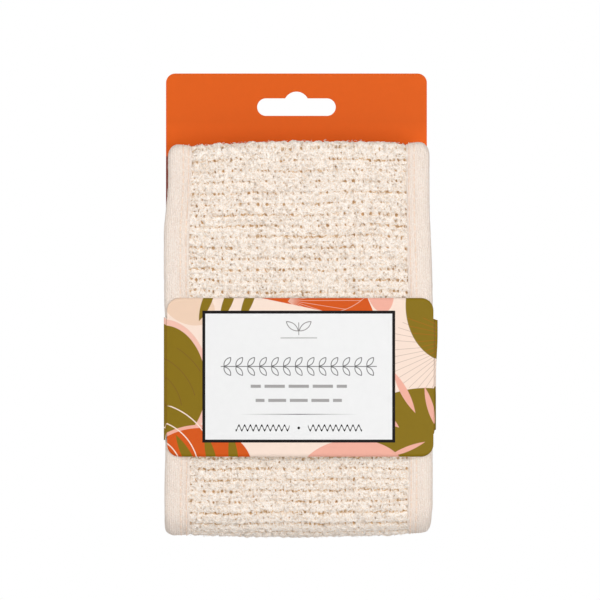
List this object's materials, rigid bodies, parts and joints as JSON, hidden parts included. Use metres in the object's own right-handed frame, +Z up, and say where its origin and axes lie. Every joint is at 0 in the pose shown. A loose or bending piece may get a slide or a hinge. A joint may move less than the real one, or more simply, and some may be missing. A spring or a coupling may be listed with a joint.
{
  "type": "back scrubber strap in retail pack",
  "caption": "Knitted back scrubber strap with soft bound edges and hand loops, folded flat in a printed belly band on a hang card with a peg slot.",
  "frame": {"origin": "middle of the peg slot, on the hang card's mid plane", "axes": "+Z up as the pack hangs, +Y out of the back of the pack, +X to the right seen from the front"},
  "size_m": [0.1105, 0.0262, 0.189],
  "materials": {
    "card": "orange printed board, satin",
    "band": "printed coated paper board, satin",
    "glue": "dried hot-melt glue",
    "knit": "undyed slubby plant-fibre yarn, ridged knit",
    "backing": "undyed cotton terry",
    "binding": "brushed cotton tape",
    "thread": "sewing thread",
    "webbing": "plain woven cotton webbing"
  },
  "bodies": {
    "package": {"hang_card": "card", "belly_band": "band", "band_seam_glue": "glue", "card_glue_strips": "glue"},
    "strap": {"knit_face_panel": "knit", "soft_backing_panel": "backing", "left_edge_binding": "binding", "right_edge_binding": "binding", "left_binding_thread": "thread", "right_binding_thread": "thread", "inner_end_hem": "binding", "outer_end_hem": "binding", "inner_hem_thread": "thread", "outer_hem_thread": "thread", "inner_hand_loop": "webbing", "outer_hand_loop": "webbing", "inner_loop_bar_tacks": "thread", "outer_loop_bar_tacks": "thread"}
  },
  "joints": [
    {"name": "strap_slide", "type": "slide", "parent": "package", "child": "strap", "axis": [0, 0, 1], "range_m": [-0.13, 0.01]}
  ]
}
